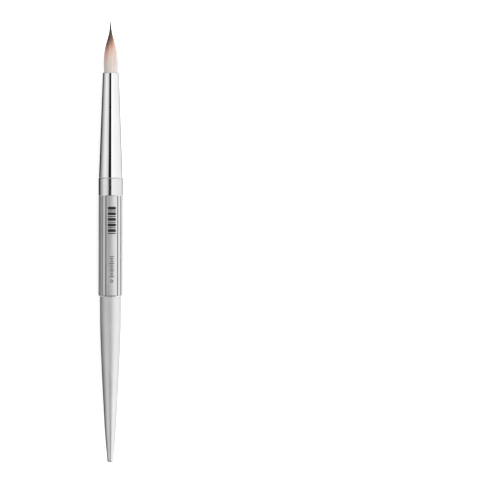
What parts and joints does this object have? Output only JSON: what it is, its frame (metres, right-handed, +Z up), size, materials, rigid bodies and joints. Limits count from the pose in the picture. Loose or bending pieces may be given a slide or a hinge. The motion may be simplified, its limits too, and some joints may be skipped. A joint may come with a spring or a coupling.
{
  "type": "fine detail brush",
  "caption": "Round pointed detail brush: tapered mirror-plated ferrule, polished collar, long-grooved metal grip and tapered tail that screw together.",
  "frame": {"origin": "centre of the bounding box's footprint, on the plane that the brush lies on", "axes": "+Y along the brush towards the hair tip, +Z up out of the label panel"},
  "size_m": [0.0098, 0.18, 0.0099],
  "materials": {
    "hair": "fine synthetic filaments, cream at the root, rose-brown above, near-black at the point",
    "binding_thread": "waxed white thread",
    "epoxy": "clear amber set glue",
    "ferrule_plate": "mirror plated",
    "collar_polish": "polished, finely turned",
    "grip_aluminium": "satin, drawn lengthwise",
    "tail_aluminium": "satin, fine bead-blast with faint turning marks",
    "brass_inner": "as turned",
    "stud_steel": "rolled thread, plain",
    "washer_rubber": "matt black",
    "grip_print": null
  },
  "bodies": {
    "handle": {"grip_barrel": "grip_aluminium", "front_insert": "brass_inner", "rear_insert": "brass_inner"},
    "head_seal": {"head_washer": "washer_rubber"},
    "head": {"collar_ring": "collar_polish", "ferrule_plug": "brass_inner", "head_stud": "stud_steel", "ferrule": "ferrule_plate", "epoxy_plug": "epoxy", "binding_thread": "binding_thread", "hair_bundle": "hair"},
    "tail_seal": {"tail_washer": "washer_rubber"},
    "tail": {"tail_cone": "tail_aluminium", "tail_stud": "stud_steel"}
  },
  "joints": [
    {"name": "head_travel", "type": "slide", "parent": "handle", "child": "head_seal", "axis": [0, 1, 0], "range_m": [0, 0.0048]},
    {"name": "head_unscrew", "type": "hinge", "parent": "head_seal", "child": "head", "pos_m": [0, 0.018, 0.00495], "axis": [0, 1, 0], "range_deg": [0, 2160]},
    {"name": "tail_travel", "type": "slide", "parent": "handle", "child": "tail_seal", "axis": [0, -1, 0], "range_m": [0, 0.0048]},
    {"name": "tail_unscrew", "type": "hinge", "parent": "tail_seal", "child": "tail", "pos_m": [0, -0.022, 0.00495], "axis": [0, -1, 0], "range_deg": [0, 2160]}
  ],
  "couplings": [
    {"joint": "head_unscrew", "follows": "head_travel", "rad_per_m": 7853.9},
    {"joint": "tail_unscrew", "follows": "tail_travel", "rad_per_m": 7853.9}
  ]
}
